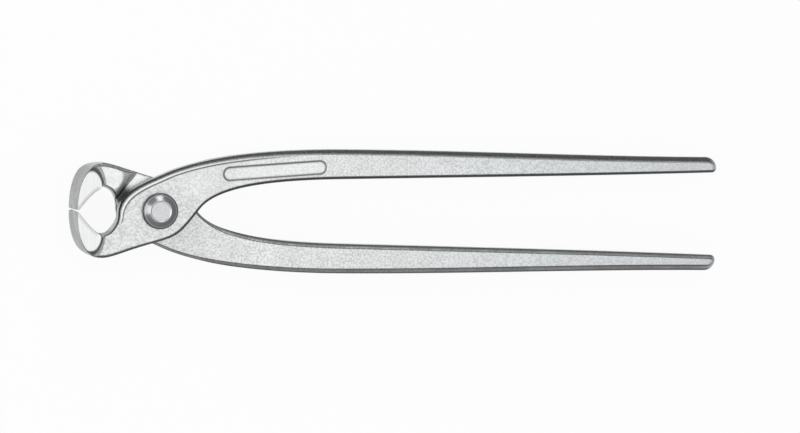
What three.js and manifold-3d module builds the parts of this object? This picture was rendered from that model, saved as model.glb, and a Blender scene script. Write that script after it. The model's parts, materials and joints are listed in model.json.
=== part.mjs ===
// Concreters nippers: two forged levers that cross in a half-lap joint and turn on one rivet.
// Millimetres, +Z up. The tool lies flat and closed, with its jaws towards -X and its handles towards +X.

import * as THREE from 'three';
import { mergeVertices } from 'three/addons/utils/BufferGeometryUtils.js';
import Module from 'manifold-3d';

// Reaches along the tool, from the rivet
const JAW_REACH = 32.7; // to the cutting edges
const EAR_REACH = 22.4; // to where the jaws widen
const HOLLOW_REACH = 16.1; // to the back wall of the hollow between the jaws
const NECK_REACH = 3.5; // to where the outside of the jaw leaves the joint
const SHOULDER_REACH = 2; // to where the outside of the handle meets the joint
const CROTCH_REACH = 16; // to the fork between the handles
const CREST_REACH = 71; // to where the handles stand widest apart
const HANDLE_REACH = 217.3; // to the ends of the handles

// Rises above the middle line of the tool
const HOLLOW_RISE = 8.9; // of the hollow between the jaws
const HOLLOW_BACK_RISE = 1; // of the steepest point of the hollow's back wall
const JAW_RISE = 18.2; // of the outside of the jaws
const NECK_RISE = 13.1; // of the outside of the joint where the jaw leaves it
const SHOULDER_RISE = 14.6; // of the outside of the joint where the handle meets it
const CROTCH_RISE = 0.7; // of the inside of the handle at the fork
const CREST_RISE = 23.9; // of the outside of the handle where it is highest
const END_RISE = 21.85; // of the outside of the handle at its end

// Slopes of the outline to the middle line, in degrees
const BEVEL_SLOPE = 50; // inner bevel at the cutting edge
const NECK_SLOPE = 16; // outside of the joint where the jaw leaves it
const SHOULDER_SLOPE = 24; // outside of the joint where the handle meets it
const CROTCH_SLOPE = 52; // inside of the handle at the fork
const CREST_SLOPE = 1.25; // inside of the handle where it is highest
const HANDLE_SLOPE = 2; // inside of the handle at its end

// Widths and thicknesses
const CREST_WIDTH = 11.6; // of the handle where it is highest
const END_WIDTH = 6; // of the handle at its end
const HANDLE_THICKNESS = 8.2;
const END_THICKNESS = 6.4;
const JOINT_THICKNESS = 12;
const EDGE_LENGTH = 24; // of the cutting edges, across the tool
const EDGE_FLAT = 0.3; // width of the flat on each cutting edge

// Lengths of the blends from one thickness to the next
const SHOULDER_RUN = 3.6; // step from the lap to the neck of the jaw
const RAMP_RUN = 34; // step from the lap to the handle
const FACE_RUN = 24; // fall of the outer face from the joint to the handle
const EAR_RUN = 2; // flare from the neck to the full cutting edge

// Rounding of the edges
const GRIP_ROUND = 2.2; // outside of the grip
const SHANK_ROUND = 1.8; // outside of the handle next to the joint
const CROWN_ROUND = 2.1; // outside of the joint, from the handle to the hollow
const INNER_ROUND = 1.2; // inside of the handle
const JOINT_ROUND = 1.3; // joint, on the side of the other handle
const EAR_ROUND = 4; // rear corner of the jaw's side face
const BLADE_BREAK = 0.2; // edges next to the cutting edge
const LAP_BREAK = 0.3; // edges of the lap faces
const TIP_BACK_ROUND = 4.3; // outer corner at the handle end
const TIP_INNER_ROUND = 1.6; // inner corner at the handle end
const TIP_FLAT = 0.6; // flat left between those corners

// Rivet
const RIVET_BODY = 8.4; // diameter
const HEAD_DIAMETER = 14;
const HEAD_FLAT = 8.2; // diameter of the flat top
const HEAD_HEIGHT = 3.2;
const TAIL_DIAMETER = 13;
const TAIL_HEIGHT = 2;
const HEAD_LIP = 0.5; // height of the upright rim under each head
const SKIRT_WIDTH = 0.85; // of the round from that rim to the cone of the head
const CONE_RISE = 1.35; // of the cone up to the flat top

// Oblong panel on the outer face of the front lever
const PANEL_REACH = 44.7;
const PANEL_RISE = 15.6;
const PANEL_LENGTH = 40.5;
const PANEL_WIDTH = 5.6;
const PANEL_DEPTH = 0.35;
const PANEL_TILT = 4.4; // degrees

// Clearances
const EDGE_GAP = 0.4; // between the closed cutting edges
const LAP_GAP = 0.3; // between the two lap faces
const LAP_CLEARANCE = 0.4; // between the corner of one joint and the step of the other lever
const BORE_CLEARANCE = 0.1; // around the rivet body
const SEAT_GAP = 0.1; // under each rivet head

// Facets
const CORNER_STEPS = 4;
const ROUND_STEPS = 40;
const RAIL_STEPS = [6, 8, 24, 18, 20, 26]; // end, grip, shank, joint, neck and blade

const { degToRad, lerp, clamp, smoothstep } = THREE.MathUtils;
const lapRadius = Math.hypot(SHOULDER_REACH, SHOULDER_RISE) + LAP_CLEARANCE;

const wasm = await Module();
wasm.setup();

function toSolid(geometry) {
  const bare = geometry.clone();
  bare.deleteAttribute('normal');
  bare.deleteAttribute('uv');
  const merged = mergeVertices(bare);
  const vertProperties = new Float32Array(merged.attributes.position.array);
  const triVerts = new Uint32Array(merged.index.array);
  return new wasm.Manifold(new wasm.Mesh({ numProp: 3, vertProperties, triVerts }));
}

function toGeometry(solid) {
  const mesh = solid.getMesh();
  const geometry = new THREE.BufferGeometry();
  geometry.setAttribute('position', new THREE.BufferAttribute(mesh.vertProperties, 3));
  geometry.setIndex(new THREE.BufferAttribute(mesh.triVerts, 1));
  geometry.computeVertexNormals();
  return geometry;
}

// A knot is a point of the outline with the heading of travel there, from the handle end to the cutting
// edge, and the pull of the curve before and after it as a share of the distance to the next knot.
function knot(x, y, heading, pullBefore, pullAfter) {
  const angle = degToRad(heading);
  const along = new THREE.Vector2(Math.cos(angle), Math.sin(angle));
  return { at: new THREE.Vector2(x, y), along, pullBefore, pullAfter };
}

function rail(knots) {
  return knots.slice(1).map((next, index) => {
    const last = knots[index];
    const span = last.at.distanceTo(next.at);
    const leaving = last.at.clone().addScaledVector(last.along, last.pullAfter * span);
    const arriving = next.at.clone().addScaledVector(next.along, -next.pullBefore * span);
    return new THREE.CubicBezierCurve(last.at, leaving, arriving, next.at);
  });
}

// The front lever lies between two rails. The back rail runs along the outside of the handle, over the
// joint and down the wall of the hollow to the cutting edge.
const tipRise = END_RISE - END_WIDTH + TIP_INNER_ROUND;
const edgeDrop = -EDGE_GAP / 2;
const backRail = rail([
  knot(HANDLE_REACH, tipRise + TIP_FLAT, 90, 0, 0.4),
  knot(HANDLE_REACH - TIP_BACK_ROUND, END_RISE, 180, 0.4, 0.33),
  knot(CREST_REACH, CREST_RISE, 180, 0.33, 0.33),
  knot(SHOULDER_REACH, SHOULDER_RISE, 180 + SHOULDER_SLOPE, 0.26, 0.36),
  knot(-HOLLOW_REACH, -HOLLOW_BACK_RISE, 270, 0.36, 0.4),
  knot(-EAR_REACH, -HOLLOW_RISE, 180, 0.4, 0.25),
  knot(EDGE_FLAT - JAW_REACH, edgeDrop, 180 - BEVEL_SLOPE, 0.36, 0),
]);

// The inner rail runs along the inside of the handle, through the fork and under the joint, and then
// along the outside of the jaw to the cutting edge.
const innerRail = rail([
  knot(HANDLE_REACH, tipRise, 270, 0, 0.4),
  knot(HANDLE_REACH - TIP_INNER_ROUND, END_RISE - END_WIDTH, 180 + HANDLE_SLOPE, 0.4, 0.33),
  knot(CREST_REACH, CREST_RISE - CREST_WIDTH, 180 + CREST_SLOPE, 0.33, 0.44),
  knot(CROTCH_REACH, CROTCH_RISE, 180 + CROTCH_SLOPE, 0.2, 0.56),
  knot(-NECK_REACH, -NECK_RISE, 180 + NECK_SLOPE, 0.5, 0.36),
  knot(-EAR_REACH, -JAW_RISE, 180, 0.23, 0.37),
  knot(-JAW_REACH, edgeDrop, 90, 0.47, 0),
]);

// Rounding at the knots of the two rails
const backRound = [GRIP_ROUND, GRIP_ROUND, SHANK_ROUND, CROWN_ROUND, JOINT_ROUND, BLADE_BREAK, BLADE_BREAK];
const innerRound = [INNER_ROUND, INNER_ROUND, INNER_ROUND, JOINT_ROUND, JOINT_ROUND, JOINT_ROUND];

// Distance from the rivet to the straight line across the lever from one rail to the other
function reachOf(back, inner) {
  const across = inner.clone().sub(back).normalize();
  return Math.abs(back.cross(across));
}

// Lower and upper limit of the front lever at one place along the rails
function heights(part, share, back, inner) {
  const reach = reachOf(back, inner);
  if (part <= 2) {
    const taper = clamp((HANDLE_REACH - back.x) / (HANDLE_REACH - CREST_REACH), 0, 1);
    const swell = part === 0 ? 0.5 + 0.5 * Math.sin((share * Math.PI) / 2) : 1;
    const half = (swell * lerp(END_THICKNESS, HANDLE_THICKNESS, taper)) / 2;
    const free = smoothstep(reach, lapRadius, lapRadius + RAMP_RUN);
    const fall = smoothstep(reach, lapRadius, lapRadius + FACE_RUN);
    const low = lerp(LAP_GAP / 2, -half, free);
    return { low, top: lerp(JOINT_THICKNESS / 2, half, fall), free, flare: 0 };
  }
  const free = part === 3 ? 0 : smoothstep(reach, lapRadius, lapRadius + SHOULDER_RUN);
  const middle = (back.x + inner.x) / 2;
  const flare = part === 5 ? smoothstep(-middle, EAR_REACH, EAR_REACH + EAR_RUN) : 0;
  const top = lerp(JOINT_THICKNESS, EDGE_LENGTH, flare) / 2;
  return { low: lerp(LAP_GAP / 2, -top, free), top, free, flare };
}

// Closed section with rounded corners, upright on the line from the back rail to the inner rail
function section(back, inner, low, top, rounds) {
  const width = back.distanceTo(inner);
  const tall = top - low;
  const squeeze = Math.min(
    1,
    (0.96 * width) / Math.max(rounds.backTop + rounds.innerTop, rounds.backLow + rounds.innerLow),
    (0.96 * tall) / Math.max(rounds.backTop + rounds.backLow, rounds.innerTop + rounds.innerLow),
  );
  const corners = [
    { u: 0, z: low, round: rounds.backLow, start: 270 },
    { u: 0, z: top, round: rounds.backTop, start: 180 },
    { u: width, z: top, round: rounds.innerTop, start: 90 },
    { u: width, z: low, round: rounds.innerLow, start: 0 },
  ];
  const points = [];
  for (const corner of corners) {
    const round = squeeze * corner.round;
    const centreU = corner.u === 0 ? round : width - round;
    const centreZ = corner.z === low ? low + round : top - round;
    for (let step = 0; step <= CORNER_STEPS; step += 1) {
      const angle = degToRad(corner.start - (90 * step) / CORNER_STEPS);
      const across = (centreU + round * Math.cos(angle)) / width;
      const at = back.clone().lerp(inner, across);
      points.push(new THREE.Vector3(at.x, at.y, centreZ + round * Math.sin(angle)));
    }
  }
  return points;
}

// Sections of the front lever from the handle end to the cutting edge, with the top lowered by a depth
function leverSections(depth) {
  const sections = [];
  RAIL_STEPS.forEach((steps, part) => {
    const last = part === RAIL_STEPS.length - 1;
    for (let step = 0; step < steps + (last ? 1 : 0); step += 1) {
      const share = last ? (step / steps) ** 1.4 : step / steps;
      const back = backRail[part].getPoint(share);
      const inner = innerRail[part].getPoint(share);
      const { low, top, free, flare } = heights(part, share, back, inner);
      const ear = lerp(lerp(JOINT_ROUND, EAR_ROUND, flare), BLADE_BREAK, smoothstep(share, 0.03, 0.55));
      const backTop = lerp(backRound[part], backRound[part + 1], share);
      const innerTop = last ? ear : lerp(innerRound[part], innerRound[part + 1], share);
      const backLow = lerp(LAP_BREAK, backTop, free);
      const innerLow = lerp(LAP_BREAK, innerTop, free);
      sections.push(section(back, inner, low, top - depth, { backTop, innerTop, backLow, innerLow }));
    }
  });
  return sections;
}

function loft(sections) {
  const ring = sections[0].length;
  const last = (sections.length - 1) * ring;
  const index = [];
  for (let row = 0; row + 1 < sections.length; row += 1) {
    for (let side = 0; side < ring; side += 1) {
      const here = row * ring + side;
      const beside = row * ring + ((side + 1) % ring);
      index.push(here, here + ring, beside, beside, here + ring, beside + ring);
    }
  }
  for (let side = 1; side + 1 < ring; side += 1) {
    index.push(0, side, side + 1, last, last + side + 1, last + side);
  }
  const geometry = new THREE.BufferGeometry().setFromPoints(sections.flat());
  geometry.setIndex(index);
  return geometry;
}

// Oblong with round ends, standing through the outer face of the handle
function panelBlock() {
  const round = PANEL_WIDTH / 2;
  const half = PANEL_LENGTH / 2 - round;
  const outline = new THREE.Shape();
  outline.absarc(half, 0, round, -Math.PI / 2, Math.PI / 2);
  outline.absarc(-half, 0, round, Math.PI / 2, (3 * Math.PI) / 2);
  const block = new THREE.ExtrudeGeometry(outline, {
    depth: JOINT_THICKNESS,
    bevelEnabled: false,
    curveSegments: 10,
  });
  block.rotateZ(degToRad(PANEL_TILT));
  block.translate(PANEL_REACH, PANEL_RISE, 0);
  return toSolid(block);
}

function leverSolid(hasPanel) {
  const radius = RIVET_BODY / 2 + BORE_CLEARANCE;
  const bore = new THREE.CylinderGeometry(radius, radius, 2 * JOINT_THICKNESS, ROUND_STEPS);
  bore.rotateX(Math.PI / 2);
  const forging = toSolid(loft(leverSections(0))).subtract(toSolid(bore));
  if (!hasPanel) {
    return forging;
  }
  const floor = toSolid(loft(leverSections(PANEL_DEPTH)));
  return forging.subtract(panelBlock().subtract(floor));
}

function rivetGeometry() {
  const body = RIVET_BODY / 2;
  const seat = JOINT_THICKNESS / 2 + SEAT_GAP;
  const head = HEAD_DIAMETER / 2;
  const tail = TAIL_DIAMETER / 2;
  const headTop = seat + HEAD_HEIGHT;
  const skirt = new THREE.QuadraticBezierCurve(
    new THREE.Vector2(head, seat + HEAD_LIP),
    new THREE.Vector2(head, headTop - CONE_RISE),
    new THREE.Vector2(head - SKIRT_WIDTH, headTop - CONE_RISE),
  );
  const dome = new THREE.QuadraticBezierCurve(
    new THREE.Vector2(0, -seat - TAIL_HEIGHT),
    new THREE.Vector2(tail * 0.8, -seat - TAIL_HEIGHT),
    new THREE.Vector2(tail, -seat - HEAD_LIP),
  );
  const profile = [
    ...dome.getPoints(8),
    new THREE.Vector2(tail, -seat),
    new THREE.Vector2(body, -seat),
    new THREE.Vector2(body, seat),
    new THREE.Vector2(head, seat),
    ...skirt.getPoints(6),
    new THREE.Vector2(HEAD_FLAT / 2, headTop),
    new THREE.Vector2(0, headTop),
  ];
  return new THREE.LatheGeometry(profile, ROUND_STEPS).rotateX(Math.PI / 2);
}

const zinc = { color: 0xd3d6d8, roughness: 0.45, metalness: 0.9 };

const frontLever = new THREE.Mesh(toGeometry(leverSolid(true)), new THREE.MeshStandardMaterial(zinc));
frontLever.name = 'front_lever';

const rearLever = new THREE.Mesh(toGeometry(leverSolid(false)), new THREE.MeshStandardMaterial(zinc));
rearLever.name = 'rear_lever';
rearLever.rotation.x = Math.PI;

const rivet = new THREE.Mesh(
  toGeometry(toSolid(rivetGeometry())),
  new THREE.MeshStandardMaterial({ color: 0x9a9da0, roughness: 0.3, metalness: 0.95 }),
);
rivet.name = 'pivot_rivet';

// The origin lies under the middle of the tool, on the plane that its jaws rest on.
const nippers = new THREE.Group();
nippers.add(frontLever, rearLever, rivet);
nippers.position.set((JAW_REACH - HANDLE_REACH) / 2, 0, EDGE_LENGTH / 2);

export default nippers;
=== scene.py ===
import json
import math

import bmesh
import bpy
import numpy as np
from mathutils import Matrix, Vector


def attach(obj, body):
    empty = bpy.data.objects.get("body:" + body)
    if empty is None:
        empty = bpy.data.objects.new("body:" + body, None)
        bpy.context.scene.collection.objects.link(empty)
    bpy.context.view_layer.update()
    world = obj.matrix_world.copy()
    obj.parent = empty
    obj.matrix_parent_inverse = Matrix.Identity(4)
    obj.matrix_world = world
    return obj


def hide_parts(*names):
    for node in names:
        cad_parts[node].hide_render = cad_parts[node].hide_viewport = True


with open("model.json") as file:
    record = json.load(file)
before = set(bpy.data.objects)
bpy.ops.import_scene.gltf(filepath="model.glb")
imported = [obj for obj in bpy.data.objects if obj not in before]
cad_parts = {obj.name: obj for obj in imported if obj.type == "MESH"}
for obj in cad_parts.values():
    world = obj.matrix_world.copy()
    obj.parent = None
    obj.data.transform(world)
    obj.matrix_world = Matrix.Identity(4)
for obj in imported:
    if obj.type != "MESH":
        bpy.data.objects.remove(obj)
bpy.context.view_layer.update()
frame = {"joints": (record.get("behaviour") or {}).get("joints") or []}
mm = 0.001
rivetCentre = np.array(frame["joints"][0]["pos_m"])  # metres, in the frame of the solids
print("frame loaded, rivet at", rivetCentre)


def addObject(name, data):
    made = bpy.data.objects.new(name, data)
    bpy.context.collection.objects.link(made)
    return made


photoCamera = {
    "towards": (-0.1692, 0.0562, 0.984),  # from the tool to the lens
    "aim": (1.9, -1.875, 12.0),  # mm, point at the middle of the picture
    "roll": 0.9,  # degrees, the handles dip to the right
    "distance": 5000.0,  # mm, far off, as through a long lens
    "sensor": 36.0,  # mm
    "pixelsPerMm": 2.6035,
    "pictureWidth": 800,
}


def makeCamera(setup):
    back = Vector(setup["towards"]).normalized()
    level = Vector((0, 1, 0)).cross(back).normalized()
    upright = back.cross(level)
    roll = math.radians(setup["roll"])
    right = level * math.cos(roll) + upright * math.sin(roll)
    up = upright * math.cos(roll) - level * math.sin(roll)
    lens = bpy.data.cameras.new("photoCamera")
    lens.sensor_width = setup["sensor"]
    lens.lens = setup["sensor"] * setup["distance"] * setup["pixelsPerMm"] / setup["pictureWidth"]
    camera = addObject("photoCamera", lens)
    place = Vector(setup["aim"]) * mm + back * setup["distance"] * mm
    camera.matrix_world = Matrix((right, up, back)).transposed().to_4x4()
    camera.location = place
    bpy.context.scene.camera = camera


makeCamera(photoCamera)
print("camera placed")


def ease(value, start, run):  # 0 before the start, 1 after the run and smooth between
    t = np.clip((value - start) / run, 0, 1)
    return t * t * (3 - 2 * t)


def mix(a, b, share):
    return a + (b - a) * share


def graph(value, points):  # straight lines through pairs of place and value
    return np.interp(value, *zip(*points))


def col(values):
    return values[:, None]


def tubeFaces(rows, cols, flipped=False):  # rings of points joined to a tube, with a fan over each end
    row, side = np.meshgrid(np.arange(rows - 1), np.arange(cols), indexing="ij")
    here, beside = row * cols + side, row * cols + (side + 1) % cols
    quads = np.stack((here, here + cols, beside + cols, beside), axis=-1).reshape(-1, 4)
    edge = np.arange(cols)
    after = (edge + 1) % cols
    first, last, lastRow = rows * cols, rows * cols + 1, (rows - 1) * cols
    fans = np.vstack((
        np.stack((np.full(cols, first), edge, after), axis=-1),
        np.stack((np.full(cols, last), lastRow + after, lastRow + edge), axis=-1),
    ))
    if flipped:
        quads, fans = quads[:, [0, 3, 2, 1]], fans[:, [0, 2, 1]]
    return quads.tolist() + fans.tolist()


def makeMesh(name, points, faces):
    mesh = bpy.data.meshes.new(name)
    mesh.from_pydata(points.tolist(), [], faces)
    mesh.update()
    return mesh


# both levers are one pattern, in mm and degrees, measured from the rivet
# a pair gives where along a stretch of the lever a change sets in, and over how much of it
lever = {
    "jawReach": 32.7, "earReach": 22.4, "hollowReach": 16.1, "neckReach": 3.5,
    "shoulderReach": 2.0, "crotchReach": 16.0, "crestReach": 71.0, "handleReach": 217.3,
    "hollowRise": 8.9, "hollowBackRise": 1.0, "jawRise": 18.2, "neckRise": 13.1,
    "shoulderRise": 14.6, "crotchRise": 0.7, "crestRise": 23.9, "endRise": 21.85,
    "bevelSlope": 50, "neckSlope": 16, "shoulderSlope": 24, "crotchSlope": 52,
    "crestSlope": 1.25, "handleSlope": 2,
    "crestWidth": 11.6, "endWidth": 6.0, "handleThickness": 8.2, "endThickness": 6.4,
    "tipShare": 0.5,  # of the thickness, left at the very end of the handle
    "jointThickness": 12.0, "edgeLength": 24.0, "edgeFlat": 0.3,
    "shoulderRun": 3.4, "shoulderSpread": 2.2, "rampRun": 34.0, "faceRun": 24.0,
    "tipBackRound": 4.3, "tipInnerRound": 1.6, "tipFlat": 0.6,
    "edgeGap": 0.4, "lapGap": 0.3, "lapClearance": 0.4,
    "bore": 8.6, "boreSteps": 96, "boreLength": 40.0,
    # flat ground on the side of a jaw, and the wall that falls from it to the neck
    "ovalReach": 27.0, "ovalRise": 8.0, "ovalHalf": 4.0, "ovalLength": 7.6,
    "flareRun": 2.6, "flareMargin": 0.4,
    # small ground bevel along the arch of the jaws
    "bevelDrop": 0.35, "bevelRun": 1.3, "bevelStart": (0.1, 0.15),
    # rounding at the knots of the rails, from the handle end to the cutting edge
    "backRound": (2.5, 2.5, 2.0, 1.4, 1.2, 0.2, 0.15),
    "innerRound": (1.2, 1.2, 1.2, 1.2, 1.3, 1.4, 0.0),
    "roundForm": (1.35, 1.35, 1.4, 1.5, 1.7, 2.0, 2.0),  # 1 is a flat chamfer and 2 a round edge
    "earRound": ((0, 1.4), (0.2, 1.1), (0.4, 0.5), (1, 0.15)),  # along the jaw
    "lapRound": 0.5, "lapRoundFrom": (0.6, 0.4),  # crisp edges of the lap face
    "rampRound": 0.5, "rampRoundRun": 12,  # more on the inside of the handle
    "roundLimit": 0.96,  # most of the room that two roundings may take
    # trimmed ledge along the crown of the joint, from the crest of the handle to the hollow
    "ledgeDepth": 0.3, "ledgeStart": 1.7, "ledgeWidth": 2.3, "ledgeRun": 0.35,
    "crownRise": (0.05, 0.5), "crownFade": (0.0, 0.3),
    "ledgeRoom": 0.9, "ledgeShare": 0.45, "ledgeLeast": 1.05,  # strip of close points around it
    # forged sides, with a trimmed parting line that stands proud of them
    "draft": 4.0, "hollowDraft": 8.0, "hollowFrom": (0.45, 0.4),
    "seam": 0.07, "seamHalf": 0.7, "seamRun": 0.3,
    "forgedFade": (0.0, 0.2), "forgedInnerFade": (0.3, 0.6),
    "leastWidth": 0.2,  # share of the width that is kept, however far the sides slope
    "stations": (28, 110, 170, 90, 76, 96), "panelStations": 330,
    "crowding": 1.5,  # draws the stations together at the ends of the lever
    "sharpAngle": 58.0,
}

# stretches of a lever, from the handle end to the cutting edge
tipPart, gripPart, shankPart, jointPart, neckPart, jawPart = range(6)

# points round one section: sides, corners, strip for the ledge, outer face and lap face
ring = {"side": 11, "corner": 9, "ledge": 14, "face": 42, "lap": 20}
faceFrom = ring["side"] + ring["corner"]
faceTo = faceFrom + ring["ledge"] + ring["face"]
lapFrom = faceTo + ring["corner"] + ring["side"] + ring["corner"]
outerFace, lapFace = slice(faceFrom, faceTo), slice(lapFrom, lapFrom + ring["lap"])


def inside(count):  # even shares between 0 and 1, without the two ends
    return np.linspace(0, 1, count + 2)[None, 1:-1]


def headingOf(degrees):
    return np.array((math.cos(math.radians(degrees)), math.sin(math.radians(degrees))))


def bezier(knots, part, share):
    (x0, y0, heading0, _, pull0), (x1, y1, heading1, pull1, _) = knots[part], knots[part + 1]
    start, stop = np.array((x0, y0)), np.array((x1, y1))
    span = np.linalg.norm(stop - start)
    leave = start + pull0 * span * headingOf(heading0)
    arrive = stop - pull1 * span * headingOf(heading1)
    t = col(share)
    return (1 - t) ** 3 * start + 3 * (1 - t) ** 2 * t * leave + 3 * (1 - t) * t**2 * arrive + t**3 * stop


def leverRails(size):
    end = size["handleReach"]
    tip = size["endRise"] - size["endWidth"] + size["tipInnerRound"]
    innerEnd = size["endRise"] - size["endWidth"]
    drop = -size["edgeGap"] / 2
    # x, y, heading of travel from the handle end to the cutting edge, pull before, pull after
    back = [
        (end, tip + size["tipFlat"], 90, 0, 0.4),
        (end - size["tipBackRound"], size["endRise"], 180, 0.4, 0.33),
        (size["crestReach"], size["crestRise"], 180, 0.33, 0.33),
        (size["shoulderReach"], size["shoulderRise"], 180 + size["shoulderSlope"], 0.26, 0.36),
        (-size["hollowReach"], -size["hollowBackRise"], 270, 0.36, 0.4),
        (-size["earReach"], -size["hollowRise"], 180, 0.4, 0.25),
        (size["edgeFlat"] - size["jawReach"], drop, 180 - size["bevelSlope"], 0.36, 0),
    ]
    inner = [
        (end, tip, 270, 0, 0.4),
        (end - size["tipInnerRound"], innerEnd, 180 + size["handleSlope"], 0.4, 0.33),
        (size["crestReach"], size["crestRise"] - size["crestWidth"], 180 + size["crestSlope"], 0.33, 0.44),
        (size["crotchReach"], size["crotchRise"], 180 + size["crotchSlope"], 0.2, 0.56),
        (-size["neckReach"], -size["neckRise"], 180 + size["neckSlope"], 0.5, 0.36),
        (-size["earReach"], -size["jawRise"], 180, 0.23, 0.37),
        (-size["jawReach"], drop, 90, 0.47, 0),
    ]
    return back, inner


def leverStations(size, hasPanel):
    parts, shares = [], []
    for part, count in enumerate(size["stations"]):
        if part == shankPart and hasPanel:
            count = size["panelStations"]
        along = np.linspace(0, 1, count, endpoint=part == jawPart)
        if part in (tipPart, jawPart):
            along = along ** size["crowding"]
        parts.append(np.full(len(along), part))
        shares.append(along)
    return np.concatenate(parts), np.concatenate(shares)


class LeverCourse:  # the stations along a lever, and how high its faces are there
    def __init__(self, size, hasPanel):
        self.size = size
        self.part, self.share = leverStations(size, hasPanel)
        backKnots, innerKnots = leverRails(size)
        self.back, inner = np.zeros((len(self.part), 2)), np.zeros((len(self.part), 2))
        for part in range(len(size["stations"])):
            here = self.part == part
            self.back[here] = bezier(backKnots, part, self.share[here])
            inner[here] = bezier(innerKnots, part, self.share[here])
        self.across = inner - self.back
        self.width = np.linalg.norm(self.across, axis=1)
        (x, y), (dx, dy) = self.back.T, self.across.T
        self.reach = np.abs(x * dy - y * dx) / self.width  # from the rivet to the line of a section
        self.lapRadius = math.hypot(size["shoulderReach"], size["shoulderRise"]) + size["lapClearance"]
        self.handle = np.isin(self.part, (tipPart, gripPart, shankPart))
        self.setThickness()

    def setThickness(self):
        size = self.size
        fromEnd = (size["handleReach"] - self.back[:, 0]) / (size["handleReach"] - size["crestReach"])
        swell = size["tipShare"] + (1 - size["tipShare"]) * np.sin(self.share * math.pi / 2)
        swell = np.where(self.part == tipPart, swell, 1)
        self.half = swell * mix(size["endThickness"], size["handleThickness"], np.clip(fromEnd, 0, 1)) / 2
        self.handleTop = mix(size["jointThickness"] / 2, self.half, self.pastLap(0, size["faceRun"]))

    def pastLap(self, start, run):  # 0 on the lap and 1 beyond it, in mm from its edge
        return ease(self.reach, self.lapRadius + start, run)

    def between(self, values):  # which are given at the knots of the rails
        values = np.array(values)
        return mix(values[self.part], values[self.part + 1], self.share)

    # v is the share of the way from the back rail to the inner rail
    def placeAt(self, v):
        return self.back[:, None, :] + self.across[:, None, :] * v[:, :, None]

    def flareAt(self, v):  # 0 on the neck and 1 on the ground side of the jaw
        size, spot = self.size, self.placeAt(v)
        side = np.maximum(spot[..., 0] + size["ovalReach"], 0) / size["ovalHalf"]
        end = np.maximum(np.abs(spot[..., 1]) - size["ovalRise"], 0) / size["ovalLength"]
        outside = (np.hypot(side, end) - 1) * size["ovalHalf"] + size["flareMargin"]
        return np.where(col(self.part >= neckPart), np.clip(1 - outside / size["flareRun"], 0, 1), 0)

    def topAt(self, v):
        size = self.size
        flared = mix(size["jointThickness"] / 2, size["edgeLength"] / 2, ease(self.flareAt(v), 0, 1))
        return np.where(col(self.handle), col(self.handleTop), flared)

    def lapAt(self, v):
        size = self.size
        run = size["shoulderRun"] + size["shoulderSpread"] * (2 * v - 1) ** 2
        shoulder = np.sin(np.clip((col(self.reach) - self.lapRadius) / run, 0, 1) * math.pi / 2)
        ramp = col(self.pastLap(0, size["rampRun"]))
        step = np.where(col(self.handle), ramp, np.where(col(self.part == jointPart), 0, shoulder))
        return mix(size["lapGap"] / 2, np.where(col(self.handle), -col(self.half), -self.topAt(v)), step)


def leverRounds(course, size):  # rounding of the four edges, and the heights of the faces at the two rails
    back = course.between(size["backRound"])
    ear = graph(course.share, size["earRound"])
    inner = np.where(course.part == jawPart, ear, course.between(size["innerRound"]))
    rails = np.tile([[0.0, 1.0]], (len(course.part), 1))
    topBack, topInner = course.topAt(rails).T
    lowBack, lowInner = course.lapAt(rails).T
    leaves = 1 - ease(course.share, *size["lapRoundFrom"])
    beyond = course.pastLap(0, size["shoulderRun"])
    full = np.select([course.handle, course.part == jointPart], [1, leaves], beyond)
    lapBack, lapInner = mix(size["lapRound"], back, full), mix(size["lapRound"], inner, full)
    onRamp = size["rampRound"] * course.pastLap(0, size["rampRoundRun"])
    lapInner = np.where(course.handle, lapInner + onRamp, lapInner)
    squeeze = np.minimum.reduce([
        np.ones(len(course.part)),
        size["roundLimit"] * course.width / np.maximum(back + inner, lapBack + lapInner),
        size["roundLimit"] * (topBack - lowBack) / (back + lapBack),
        size["roundLimit"] * (topInner - lowInner) / (inner + lapInner),
    ])
    rounds = [col(edge * squeeze) for edge in (back, inner, lapBack, lapInner)]
    return rounds, [col(height) for height in (topBack, topInner, lowBack, lowInner)]


def crownAt(course, size):  # how much of the ledge there is, and how wide it is
    starts, fades = ease(course.share, *size["crownRise"]), 1 - ease(course.share, *size["crownFade"])
    stretches = [course.part == part for part in (shankPart, jointPart, neckPart)]
    crown = np.select(stretches, [starts, 1, fades], 0)
    return col(crown), col(mix(size["ledgeStart"], size["ledgeWidth"], crown))


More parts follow.
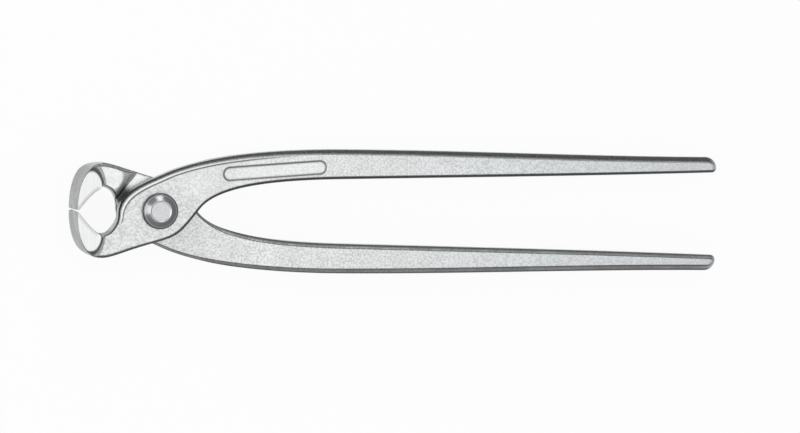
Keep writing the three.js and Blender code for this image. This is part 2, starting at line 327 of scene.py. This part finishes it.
def leverSections(course, size):  # u runs from the back rail to the inner rail, and z is the height
    (back, inner, lapBack, lapInner), (topBack, topInner, lowBack, lowInner) = leverRounds(course, size)
    width = col(course.width)
    crown, ledgeAt = crownAt(course, size)
    turn = np.linspace(0, math.pi / 2, ring["corner"])[None, :]
    power = col(2 / course.between(size["roundForm"]))
    away = 1 - np.cos(turn) ** power  # from the side
    under = 1 - np.sin(turn) ** power  # from the face

    def trim(u):
        return size["ledgeDepth"] * crown * (1 - ease(u, ledgeAt - size["ledgeRun"] / 2, size["ledgeRun"]))

    ledgeEnd = np.minimum(size["ledgeWidth"] + size["ledgeRoom"], width * size["ledgeShare"])
    nearLedge = np.linspace(0, 1, ring["ledge"] + 1)[None, 1:]
    uBackTop = back * away
    uLedge = mix(back, np.maximum(ledgeEnd, back * size["ledgeLeast"]), nearLedge)
    uTop = np.hstack((uLedge, mix(uLedge[:, -1:], width - inner, inside(ring["face"]))))
    uInnerTop = (width - inner * away)[:, ::-1]
    uInnerLow = width - lapInner * away
    uLap = mix(width - lapInner, lapBack, inside(ring["lap"]))
    uBackLow = (lapBack * away)[:, ::-1]
    sideAt = inside(ring["side"])
    bands = (
        (np.zeros((len(width), ring["side"])), mix(lowBack + lapBack, topBack - back, sideAt)),
        (uBackTop, course.topAt(uBackTop / width) - back * under - trim(uBackTop)),
        (uTop, course.topAt(uTop / width) - trim(uTop)),
        (uInnerTop, course.topAt(uInnerTop / width) - (inner * under)[:, ::-1]),
        (np.repeat(width, ring["side"], axis=1), mix(topInner - inner, lowInner + lapInner, sideAt)),
        (uInnerLow, course.lapAt(uInnerLow / width) + lapInner * under),
        (uLap, course.lapAt(uLap / width)),
        (uBackLow, course.lapAt(uBackLow / width) + (lapBack * under)[:, ::-1]),
    )
    return [np.hstack(band) for band in zip(*bands)]


def grindJaws(course, size, u, z):
    starts = np.where(course.part == jawPart, ease(course.share, *size["bevelStart"]), 0)
    bevel = size["bevelDrop"] * np.clip(1 - u / size["bevelRun"], 0, 1) * col(starts)
    return np.clip(z, bevel - size["edgeLength"] / 2, size["edgeLength"] / 2 - bevel)


def slopeSides(course, size, u, z):  # forged sides slope back from the parting line
    onNeck, onJaw = course.part == neckPart, course.part == jawPart
    fades = 1 - ease(course.share, *size["forgedFade"])
    forged = np.where(onJaw, fades, 1)
    forgedInner = np.where(onJaw, 0, np.where(onNeck, 1 - ease(course.share, *size["forgedInnerFade"]), 1))
    hollow = np.where(onNeck, ease(course.share, *size["hollowFrom"]), np.where(onJaw, fades, 0))
    slopeBack = np.tan(np.radians(mix(size["draft"], size["hollowDraft"], hollow)))
    slopeInner = math.tan(math.radians(size["draft"]))
    width, tall = col(course.width), np.abs(z)
    onBack = u < width / 2
    seam = size["seam"] * ease(tall, size["seamHalf"] - size["seamRun"] / 2, size["seamRun"])
    pull = np.maximum(tall - size["seamHalf"], 0) * np.where(onBack, col(slopeBack), slopeInner) + seam
    pull = pull * np.where(onBack, col(forged), col(forgedInner))
    return width / 2 + (u - width / 2) * np.clip(1 - 2 * pull / width, size["leastWidth"], 1)


# where the finish, the painted shade and the painted light of a lever change, from 0 to 1
# a pair is where a change sets in and how far it runs, in mm past the lap or as a share
leverTone = {
    # painted shade along the edges, on the sides, on the walls of the ears and in the hollow
    "corner": ((0, 0.8), (0.2, 1), (0.6, 1), (0.85, 0.6), (1, 0)),  # from the side to the face
    "lapCorner": ((0, 1), (0.3, 1), (0.55, 0.6), (0.75, 0.7), (0.88, 1), (1, 0)),
    "side": 0.22, "sideCorner": 0.2, "ear": 0.62, "earFrom": (0, 0.35), "atRail": 0.02,
    "hollow": 0.5, "hollowFrom": (0.4, 0.3), "hollowFade": (0, 0.08),
    "tip": 0.5, "tipRise": (0.1, 0.9),
    # painted shade on the wall that falls from the ground flat, and where the ground flat lies
    "wall": (0.3, 0.3), "ground": (0.82, 0.18), "groundBelow": 0.5, "groundRun": 0.4,
    "ledgeShade": 0.95, "ledgeHalf": 0.3, "ledgeHighlight": 0.62,  # the painted highlight lies this far outside the painted shade line
    # painted light on the outer face of the handle near the joint
    "rise": 0.3, "riseFrom": (-6, 8), "riseFade": (20, 30),
    # painted light on the lap face of the neck
    "neck": 0.6, "neckFrom": (2.2, 1.5), "neckFade": (0.02, 0.1),
    "wedgeFade": (-0.8, 1.2), "wedgeFrom": (0.4, 0.25),  # painted light on the corner of the lap beside the crown
    # painted shade in the step of the lap
    "stepFrom": (-2.6, 1.2), "stepFade": (0.6, 1.6), "stepAcross": (0.35, 0.3),
    # painted shade on the lap face of the handle near the joint
    "shank": 0.07, "shankFade": (4, 26),
    "panelLight": 3,  # painted light on the floor of the panel, for each mm of depth
}


def edgeShadeMark(course, tone, u):  # painted shade along the edges, less so on the sides and on the walls of the ears
    v, side = u / col(course.width), tone["side"]
    along = np.linspace(0, 1, ring["corner"])
    up, lapUp = graph(along, tone["corner"]), graph(along, tone["lapCorner"])
    sideTones = ((0, 1), (tone["sideCorner"], side), (1 - tone["sideCorner"], side), (1, 1))
    onSide = graph(inside(ring["side"])[0], sideTones)
    onFace, onLap = np.zeros(ring["ledge"] + ring["face"]), np.zeros(ring["lap"])
    edge = np.hstack((onSide, up, onFace, up[::-1], onSide, lapUp, onLap, lapUp[::-1]))
    onWall = ease(course.flareAt(v), *tone["wall"]) * (1 - ease(course.flareAt(v), *tone["ground"]))
    edge = np.maximum(edge, onWall)
    onTip = mix(tone["tip"], 1, ease(course.share, *tone["tipRise"]))
    edge = edge * col(np.where(course.part == tipPart, onTip, 1))
    ear = mix(side, tone["ear"], ease(course.share, *tone["earFrom"]))
    edge = np.where(col(course.part == jawPart) & (v > 1 - tone["atRail"]), col(ear), edge)
    deepens, fades = ease(course.share, *tone["hollowFrom"]), 1 - ease(course.share, *tone["hollowFade"])
    hollow = np.select([course.part == neckPart, course.part == jawPart], [deepens, fades], 0)
    return np.where(v < tone["atRail"], np.maximum(edge, tone["hollow"] * col(hollow)), edge)


def groundMark(course, size, tone, u, z):
    high = ease(np.abs(z), size["edgeLength"] / 2 - tone["groundBelow"], tone["groundRun"])
    return ease(course.flareAt(u / col(course.width)), *tone["ground"]) * high


def faceMarks(course, size, tone, u):  # painted shade and painted light on the outer face and on the lap face
    crown, ledgeAt = crownAt(course, size)
    stain, bright = np.zeros_like(u), np.zeros_like(u)
    # a painted shade line and a painted highlight along the ledge, and painted light on the handle near the
    # joint
    fromLedge = u[:, outerFace] - ledgeAt
    stain[:, outerFace] = tone["ledgeShade"] * crown * np.exp(-((fromLedge / tone["ledgeHalf"]) ** 2))
    shine = crown * np.exp(-(((fromLedge + tone["ledgeHighlight"]) / tone["ledgeHalf"]) ** 2))
    onRise = course.pastLap(*tone["riseFrom"]) * (1 - course.pastLap(*tone["riseFade"]))
    rise = np.where(course.handle, onRise, 0)
    bright[:, outerFace] = np.maximum(shine, tone["rise"] * col(rise))

    # painted light on the lap face of the neck and beside the crown
    v = u[:, lapFace] / col(course.width)
    neck = tone["neck"] * np.where(course.part >= neckPart, course.pastLap(*tone["neckFrom"]), 0)
    wedge = np.where(course.part == neckPart, 1 - course.pastLap(*tone["wedgeFade"]), 0)
    onNeck = col(neck) * (1 - ease(course.flareAt(v), *tone["neckFade"]))
    bright[:, lapFace] = np.maximum(onNeck, col(wedge) * ease(v, *tone["wedgeFrom"]))
    # painted shade in the step of the lap and on the lap face of the handle near the joint
    inStep = course.pastLap(*tone["stepFrom"]) * (1 - course.pastLap(*tone["stepFade"]))
    step = np.where(course.part == neckPart, inStep, 0)
    shank = np.where(course.handle, tone["shank"] * (1 - course.pastLap(*tone["shankFade"])), 0)
    stain[:, lapFace] = np.maximum(col(step) * (1 - ease(v, *tone["stepAcross"])), col(shank))
    return stain, bright


panel = {  # mm from the rivet, and degrees
    "reach": 44.7, "rise": 15.6, "length": 40.5, "width": 5.6, "tilt": 4.4,
    "floor": 0.15, "groove": 0.3, "grooveHalf": 0.34,
}


def panelDepth(xy, size):
    angle = math.radians(size["tilt"])
    dx, dy = xy[..., 0] - size["reach"], xy[..., 1] - size["rise"]
    along = dx * math.cos(angle) + dy * math.sin(angle)
    over = dy * math.cos(angle) - dx * math.sin(angle)
    straight = np.maximum(np.abs(along) - (size["length"] - size["width"]) / 2, 0)
    outside = np.hypot(straight, over) - size["width"] / 2 + size["grooveHalf"]
    groove = np.exp(-((outside / size["grooveHalf"]) ** 2))
    floor = 1 - ease(outside, -size["grooveHalf"], size["grooveHalf"])
    return size["groove"] * groove + size["floor"] * floor, groove


def leverPoints(size, tone, hasPanel):
    course = LeverCourse(size, hasPanel)
    u, z = leverSections(course, size)
    ground, edge = groundMark(course, size, tone, u, z), edgeShadeMark(course, tone, u)
    stain, bright = faceMarks(course, size, tone, u)
    z = grindJaws(course, size, u, z)
    xy = course.placeAt(slopeSides(course, size, u, z) / col(course.width))
    if hasPanel:
        depth, groove = panelDepth(xy[:, outerFace], panel)
        onShank = col(course.part == shankPart)
        z[:, outerFace] -= depth * onShank
        # painted shade in the groove round the panel and painted light on its floor
        stain[:, outerFace] = np.maximum(stain[:, outerFace], groove * onShank)
        bright[:, outerFace] = np.maximum(bright[:, outerFace], tone["panelLight"] * depth * onShank)
    return np.dstack((xy, z)), {"edge": edge, "ground": ground, "stain": stain, "bright": bright}


def leverMesh(name, points, marks, turnedOver):
    rows, cols = points.shape[:2]
    flat = points.reshape(-1, 3).copy()
    if turnedOver:
        flat[:, 1:] *= -1
    flat = flat * mm + rivetCentre
    flat = np.vstack((flat, flat[:cols].mean(axis=0), flat[-cols:].mean(axis=0)))
    mesh = makeMesh(name, flat, tubeFaces(rows, cols))
    for mark, values in marks.items():
        ends = (values[0].mean(), values[-1].mean())
        layer = mesh.attributes.new(mark, "FLOAT", "POINT")
        layer.data.foreach_set("value", np.append(values.reshape(-1), ends).astype(np.float32))
    return mesh


def cutBore(piece, size):
    tool = bmesh.new()
    radius, depth = size["bore"] / 2 * mm, size["boreLength"] * mm
    bmesh.ops.create_cone(
        tool, cap_ends=True, segments=size["boreSteps"], radius1=radius, radius2=radius, depth=depth
    )
    bmesh.ops.translate(tool, verts=tool.verts, vec=Vector(rivetCentre))
    mesh = bpy.data.meshes.new("boreTool")
    tool.to_mesh(mesh)
    tool.free()
    drill = addObject("boreTool", mesh)
    cut = piece.modifiers.new("bore", "BOOLEAN")
    cut.operation, cut.solver, cut.object = "DIFFERENCE", "MANIFOLD", drill
    bpy.context.view_layer.update()
    result = bpy.data.meshes.new_from_object(piece.evaluated_get(bpy.context.evaluated_depsgraph_get()))
    piece.modifiers.clear()
    piece.data = result
    bpy.data.objects.remove(drill)


def makeLever(name, hasPanel, turnedOver, body, node):
    points, marks = leverPoints(lever, leverTone, hasPanel)
    piece = addObject(name, leverMesh(name, points, marks, turnedOver))
    cutBore(piece, lever)
    piece.data.shade_smooth()
    piece.data.set_sharp_from_angle(angle=math.radians(lever["sharpAngle"]))
    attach(piece, body)
    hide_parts(node)
    print(name, "built,", len(piece.data.polygons), "faces")
    return piece


frontLever = makeLever("front_lever_forging", True, False, "front_half", "front_lever")
rearLever = makeLever("rear_lever_forging", False, True, "rear_half", "rear_lever")

rivet = {  # mm and degrees
    "body": 8.4, "head": 14.0, "flat": 8.2, "height": 3.2, "tail": 13.0, "tailHeight": 2.0,
    "seat": 0.1,  # gap under each head
    "broken": 0.12, "tailBroken": 0.1,  # sharp edges taken off
    "lip": 0.5, "lipMiddle": 0.3,  # upright side of a head
    "tailMiddle": 0.6, "tailBend": 0.8,  # flat middle of the closing head, share of its radius at the bend
    # a pair is how far a stretch starts in from an edge, and how far up
    "skirt": 0.85, "skirtFoot": (0.02, 0.7), "skirtBend": 0.1,  # rounded, between the lip and the cone
    "cone": 1.35,  # its rise above the skirt
    "coneFoot": (1.1, 0.14), "coneMiddle": 1.9, "coneEnd": 0.2,
    "coneBend": 0.56,  # over half bulges the cone and under half hollows it
    "rimFoot": (-0.1, -0.04), "rimFall": 0.01,  # rim of the flat
    "dish": 0.22, "dishFoot": (0.2, -0.05), "dishBend": 0.4, "dishFloor": 0.6,
    "floorShares": (0.6, 0.3, 0.0),  # rings on the floor of the dish
    "steps": 144, "sharpAngle": 40.0,
}


def curve(start, bend, stop, count):
    t = col(np.linspace(0, 1, count))
    return (1 - t) ** 2 * np.array(start) + 2 * (1 - t) * t * np.array(bend) + t**2 * np.array(stop)


def rivetProfile(size):  # radius and height, from the middle of the closing head to the middle of the flat
    seat = lever["jointThickness"] / 2 + size["seat"]
    body, head, tail, flat = (size[name] / 2 for name in ("body", "head", "tail", "flat"))
    foot, top = -seat - size["tailHeight"], seat + size["height"]
    cone, dish = top - size["cone"], top - size["dish"]
    lip, broken, tailBroken = size["lip"], size["broken"], size["tailBroken"]

    def start(name, edge, face):
        inwards, upwards = size[name]
        return edge - inwards, face + upwards

    closing = curve((size["tailMiddle"], foot), (tail * size["tailBend"], foot), (tail, -seat - lip), 20)
    underTail = [(tail, -seat - tailBroken), (tail - tailBroken, -seat)]
    shank = [(body, -seat), (body, seat), (head - broken, seat)]
    side = curve((head, seat + broken), (head, seat + size["lipMiddle"]), (head, seat + lip), 4)
    bend, stop = (head - broken, cone - size["skirtBend"]), (head - size["skirt"], cone)
    skirt = curve(start("skirtFoot", head, seat), bend, stop, 14)
    bend = head - size["coneMiddle"], mix(cone, top, size["coneBend"])
    slope = curve(start("coneFoot", head, cone), bend, (flat + size["coneEnd"], top - broken), 12)
    rim = curve(start("rimFoot", flat, top), (flat, top), (flat - broken, top - size["rimFall"]), 5)
    bend, stop = (flat - size["dishBend"], dish), (flat - size["dishFloor"], dish)
    hollow = curve(start("dishFoot", flat, top), bend, stop, 5)
    floor = [(flat * share, dish) for share in size["floorShares"]]
    return np.vstack(([(0.0, foot)], closing, underTail, shank, side, skirt, slope, rim, hollow, floor))


def makeRivet(size):
    profile = rivetProfile(size)
    count = size["steps"]
    angles = np.arange(count) * 2 * math.pi / count
    radius, height = profile[1:-1, :1], profile[1:-1, 1:]
    heights = np.repeat(height, count, axis=1)
    rings = np.stack((radius * np.cos(angles), radius * np.sin(angles), heights), axis=-1)
    ends = (0, 0, profile[0, 1]), (0, 0, profile[-1, 1])
    verts = np.vstack((rings.reshape(-1, 3), *ends)) * mm + rivetCentre
    mesh = makeMesh("rivet_turned", verts, tubeFaces(len(rings), count, flipped=True))
    mesh.shade_smooth()
    mesh.set_sharp_from_angle(angle=math.radians(size["sharpAngle"]))
    piece = addObject("rivet_turned", mesh)
    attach(piece, "front_half")
    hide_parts("pivot_rivet")
    print("rivet built,", len(mesh.polygons), "faces")
    return piece


rivetPiece = makeRivet(rivet)


class Wire:  # one socket, with sums written as plain expressions
    def __init__(self, sheet, socket):
        self.sheet, self.socket = sheet, socket

    def sum(self, operation, first, second):
        return self.sheet.node("ShaderNodeMath", {"operation": operation}, {0: first, 1: second})

    def __add__(self, other):
        return self.sum("ADD", self, other)

    def __radd__(self, other):
        return self.sum("ADD", other, self)

    def __sub__(self, other):
        return self.sum("SUBTRACT", self, other)

    def __rsub__(self, other):
        return self.sum("SUBTRACT", other, self)

    def __mul__(self, other):
        return self.sum("MULTIPLY", self, other)

    def __rmul__(self, other):
        return self.sum("MULTIPLY", other, self)


class NodeSheet:
    def __init__(self, owner):
        owner.use_nodes = True
        self.tree = owner.node_tree

    def node(self, kind, settings, sockets, output=0):
        made = self.tree.nodes.new(kind)
        for name, value in settings.items():
            if name == "stops":
                self.setStops(made.color_ramp, value)
            else:
                setattr(made, name, value)
        self.fill(made, sockets)
        return Wire(self, made.outputs[output])

    def fill(self, made, sockets):
        for name, value in sockets.items():
            if isinstance(value, Wire):
                self.tree.links.new(value.socket, made.inputs[name])
            else:
                made.inputs[name].default_value = value

    def setStops(self, ramp, stops):
        while len(ramp.elements) < len(stops):
            ramp.elements.new(0.5)
        for element, (place, colour) in zip(ramp.elements, stops):
            element.position, element.color = place, (*colour, 1)


def stretch(sheet, place, factors):
    return sheet.node("ShaderNodeVectorMath", {"operation": "MULTIPLY"}, {0: place, 1: factors})


def finish(name):
    made = bpy.data.materials.new(name)
    sheet = NodeSheet(made)
    place = sheet.node("ShaderNodeTexCoord", {}, {}, "Object")
    return made, sheet, stretch(sheet, place, (1 / mm, 1 / mm, 1 / mm))


def noise(sheet, place, scale, detail, rough):
    sockets = {"Vector": place, "Scale": scale, "Detail": detail, "Roughness": rough}
    return sheet.node("ShaderNodeTexNoise", {}, sockets)


def readMark(sheet, name):
    return sheet.node("ShaderNodeAttribute", {"attribute_name": name}, {}, "Fac")


def blend(sheet, share, first, second, way="MIX"):
    settings = {"data_type": "RGBA", "blend_type": way}
    return sheet.node("ShaderNodeMix", settings, {"Factor": share, 6: first, 7: second}, 2)


def within(sheet, value, low, high):
    sockets = {"Value": value, "From Min": low, "From Max": high}
    return sheet.node("ShaderNodeMapRange", {"interpolation_type": "SMOOTHSTEP"}, sockets)


def bump(sheet, strength, distance, height):
    return sheet.node("ShaderNodeBump", {}, {"Strength": strength, "Distance": distance, "Height": height})


zincFinish = {
    "face": (0.93, 0.945, 0.945, 1), "dull": (0.52, 0.532, 0.535, 1), "bright": (0.95, 0.96, 0.96, 1),
    # colours of the painted shade along the edges and of the other painted shade
    "edge": (0.075, 0.077, 0.079, 1), "stain": (0.07, 0.071, 0.073, 1),
    "ground": (0.84, 0.85, 0.85, 1), "streak": (0.77, 0.78, 0.78, 1),
    # scale, detail and roughness of each noise
    "noises": {"grain": (1.25, 3.0, 0.6), "fine": (4.0, 2.0, 0.55), "cloud": (0.11, 3.0, 0.55)},
    "streakNoise": (1.0, 4.0, 0.6), "streakRun": (2.6, 0.12, 2.6),  # grinding marks run across the tool
    # what each noise adds to the dull speckle: from, to, share
    "speckle": {"grain": (0.4, 0.62, 0.5), "fine": (0.4, 0.62, 0.38), "cloud": (0.3, 0.7, 0.12)},
    "streakRange": (0.35, 0.75),
    # lighter rub marks and a painted highlight beside the edges
    "rubAndHighlightEdge": (0.3, 0.9), "rubAndHighlightFine": 0.3, "rubAndHighlightCloud": (0.55, 0.8), "rubAndHighlightShare": 0.12,
    # darker, bluer and less speckled towards the handle ends, mm along the tool
    "grip": (0.83, 0.85, 0.87, 1), "gripFrom": -30.0, "gripTo": 140.0, "gripCalm": 0.4, "gripDull": 0.16,
    # shares of the painted light, the painted shade along the edges and the other painted shade
    "paintedLightShare": 0.85, "edgeShadeShare": 0.85, "edgeShadeGrain": 0.25, "paintedShadeShare": 0.95,
    "roughness": 0.33,
    "roughened": {"grain": 0.14, "cloud": 0.06, "edge": 0.05, "stain": 0.08},
    "smoothed": {"ground": 0.1, "rubAndHighlight": 0.08, "bright": 0.05},
    "grainDepth": 0.00009, "bumpStrength": 0.5,  # depth in metres
    "grainHeight": 0.6, "fineHeight": 0.4, "streakHeight": 0.3,
}


def zincColour(sheet, look, place, mask):
    grain, fine, cloud = (
        within(sheet, mask[name], low, high) * share for name, (low, high, share) in look["speckle"].items()
    )
    speckle = grain + fine + cloud
    along = sheet.node("ShaderNodeSeparateXYZ", {}, {0: place}, "X")
    towardsEnds = within(sheet, along, look["gripFrom"], look["gripTo"])
    dulled = speckle * (1 - towardsEnds * look["gripCalm"]) + towardsEnds * look["gripDull"]
    colour = blend(sheet, dulled, look["face"], look["dull"])
    colour = blend(sheet, towardsEnds, colour, look["grip"], "MULTIPLY")
    # painted light and painted highlights on the faces
    colour = blend(sheet, mask["bright"] * look["paintedLightShare"], colour, look["bright"])
    streaks = within(sheet, mask["streak"], *look["streakRange"])
    ground = blend(sheet, streaks, look["ground"], look["streak"])
    colour = blend(sheet, mask["ground"], colour, ground)
    # painted shade along the edges
    dark = mask["edge"] * (look["edgeShadeShare"] + mask["grain"] * look["edgeShadeGrain"])
    colour = blend(sheet, dark, colour, look["edge"])
    # painted shade at the ledge, round the panel, in the step of the lap and near the joint
    colour = blend(sheet, mask["stain"] * look["paintedShadeShare"], colour, look["stain"])
    # rub marks and a painted highlight beside the edges
    return blend(sheet, mask["rubAndHighlight"] * look["rubAndHighlightShare"], colour, look["bright"])


def makeZinc(look):
    made, sheet, place = finish("satinZinc")
    mask = {name: readMark(sheet, name) for name in ("edge", "ground", "stain", "bright")}
    for name, kind in look["noises"].items():
        mask[name] = noise(sheet, place, *kind)
    mask["streak"] = noise(sheet, stretch(sheet, place, look["streakRun"]), *look["streakNoise"])
    halfEdge = mask["edge"] * (1 - mask["edge"]) * 4.0  # 1 midway between an edge and its face
    patches = within(sheet, mask["cloud"] + mask["fine"] * look["rubAndHighlightFine"], *look["rubAndHighlightCloud"])
    mask["rubAndHighlight"] = within(sheet, halfEdge, *look["rubAndHighlightEdge"]) * patches
    roughness = look["roughness"]
    for name, share in look["roughened"].items():
        roughness = roughness + mask[name] * share
    for name, share in look["smoothed"].items():
        roughness = roughness - mask[name] * share
    forged = mask["grain"] * look["grainHeight"] + mask["fine"] * look["fineHeight"]
    height = forged * (1 - mask["ground"]) + mask["streak"] * mask["ground"] * look["streakHeight"]
    sheet.fill(sheet.tree.nodes["Principled BSDF"], {
        "Base Color": zincColour(sheet, look, place, mask),
        "Roughness": roughness,
        "Metallic": 1.0,
        "Normal": bump(sheet, look["bumpStrength"], look["grainDepth"], height),
    })
    return made


satinZinc = makeZinc(zincFinish)
for piece in (frontLever, rearLever):
    piece.data.materials.clear()
    piece.data.materials.append(satinZinc)
print("levers finished in", satinZinc.name)

rivetFinish = {
    # the cone and the rim are darkened as painted shade
    "flat": (0.61, 0.615, 0.625, 1), "cone": (0.38, 0.385, 0.395, 1), "rim": (0.12, 0.122, 0.126, 1),
    "worn": (0.3, 0.3, 0.31, 1), "wornRange": (0.4, 0.75), "wornShare": 0.25,
    "grainNoise": (1.6, 3.0, 0.55), "ringNoise": (1.0, 3.0, 0.55),  # scale, detail and roughness
    "coneFrom": -0.1, "coneTo": 0.25,  # mm past the edge of the flat
    "rimFrom": 1.1, "rimTo": 0.3,  # mm inside the edge of the head
    "roughness": 0.17, "ringRough": 0.1, "grainRough": 0.06,
    "ringsPerMm": 2.2, "ringDepth": 0.00002, "bumpStrength": 0.3, "grainHeight": 0.5,  # depth in metres
}


def makeRivetSteel(look, size):
    made, sheet, place = finish("turnedSteel")
    centre = tuple(rivetCentre / mm)
    fromAxis = sheet.node("ShaderNodeVectorMath", {"operation": "SUBTRACT"}, {0: place, 1: centre})
    flatWays = stretch(sheet, fromAxis, (1, 1, 0))
    radius = sheet.node("ShaderNodeVectorMath", {"operation": "LENGTH"}, {0: flatWays}, "Value")
    outwards = sheet.node("ShaderNodeCombineXYZ", {}, {"X": radius * look["ringsPerMm"]})
    rings = noise(sheet, outwards, *look["ringNoise"])
    grain = noise(sheet, place, *look["grainNoise"])
    flat, head = size["flat"] / 2, size["head"] / 2
    # painted shade on the cone, and darker painted shade on the rim
    onCone = within(sheet, radius, flat + look["coneFrom"], flat + look["coneTo"])
    onRim = within(sheet, radius, head - look["rimFrom"], head - look["rimTo"])
    colour = blend(sheet, onCone, look["flat"], look["cone"])
    colour = blend(sheet, onRim, colour, look["rim"])
    worn = within(sheet, grain, *look["wornRange"]) * look["wornShare"]
    colour = blend(sheet, worn, colour, look["worn"])
    height = rings + grain * look["grainHeight"]
    sheet.fill(sheet.tree.nodes["Principled BSDF"], {
        "Base Color": colour,
        "Roughness": look["roughness"] + rings * look["ringRough"] + grain * look["grainRough"],
        "Metallic": 1.0,
        "Normal": bump(sheet, look["bumpStrength"], look["ringDepth"], height),
    })
    return made


rivetPiece.data.materials.append(makeRivetSteel(rivetFinish, rivet))
print("rivet finished")

floorLook = {
    "colour": (0.95, 0.95, 0.95, 1), "roughness": 0.9,
    "half": 8.0, "below": 0.0004,  # metres
    "whiteShare": 0.92,  # of plain white, where the camera or a reflection sees the floor
}


def makeFloor(look):
    half, low = look["half"], -look["below"]
    corners = np.array([(-half, -half, low), (half, -half, low), (half, half, low), (-half, half, low)])
    mesh = makeMesh("studioFloor", corners, [(0, 1, 2, 3)])
    floor = addObject("studioFloor", mesh)
    made = bpy.data.materials.new("paleFloor")
    sheet = NodeSheet(made)
    shader = sheet.tree.nodes["Principled BSDF"]
    sheet.fill(shader, {"Base Color": look["colour"], "Roughness": look["roughness"]})
    white = sheet.node("ShaderNodeEmission", {}, {"Color": (1, 1, 1, 1), "Strength": 1.0})
    kinds = ("Is Camera Ray", "Is Glossy Ray", "Is Transmission Ray")
    rays = [sheet.node("ShaderNodeLightPath", {}, {}, kind) for kind in kinds]
    seen = (rays[0] + rays[1] + rays[2]) * look["whiteShare"]
    mixed = sheet.node("ShaderNodeMixShader", {}, {0: seen, 1: Wire(sheet, shader.outputs[0]), 2: white})
    sheet.fill(sheet.tree.nodes["Material Output"], {"Surface": mixed})
    mesh.materials.append(made)


makeFloor(floorLook)
print("floor laid")

studio = {
    # brightness of the dome, by the sine of the height above the floor
    "dome": ((0.0, 0.26), (0.3, 0.32), (0.55, 0.52), (0.76, 0.87), (1.0, 0.87)),
    "softboxes": {  # direction from the tool, distance, width and height in metres, watts
        "topBox": ((-0.06, 0.0, 1.0), 0.9, 0.5, 0.9, 0.38),
        "leftBox": ((-1.0, 0.1, 0.75), 1.8, 1.2, 0.9, 6.0),
        "backBox": ((0.0, 1.0, 0.47), 1.8, 0.8, 0.5, 3.4),
    },
}


def makeStudio(setup):
    world = bpy.data.worlds.new("studio")
    bpy.context.scene.world = world
    sheet = NodeSheet(world)
    sky = sheet.node("ShaderNodeTexCoord", {}, {})
    height = sheet.node("ShaderNodeSeparateXYZ", {}, {0: sky}, "Z")
    stops = [(at, (level, level, level)) for at, level in setup["dome"]]
    dome = sheet.node("ShaderNodeValToRGB", {"stops": stops}, {"Fac": height})
    sheet.fill(sheet.tree.nodes["Background"], {"Color": dome})
    for name, (way, distance, width, tall, watts) in setup["softboxes"].items():
        lamp = bpy.data.lights.new(name, "AREA")
        lamp.shape, lamp.size, lamp.size_y, lamp.energy = "RECTANGLE", width, tall, watts
        box = addObject(name, lamp)
        toLamp = Vector(way).normalized()
        box.location = toLamp * distance
        box.rotation_euler = toLamp.to_track_quat("Z", "Y").to_euler()
    bpy.context.scene.view_settings.view_transform = "Standard"


makeStudio(studio)
print("lights placed")
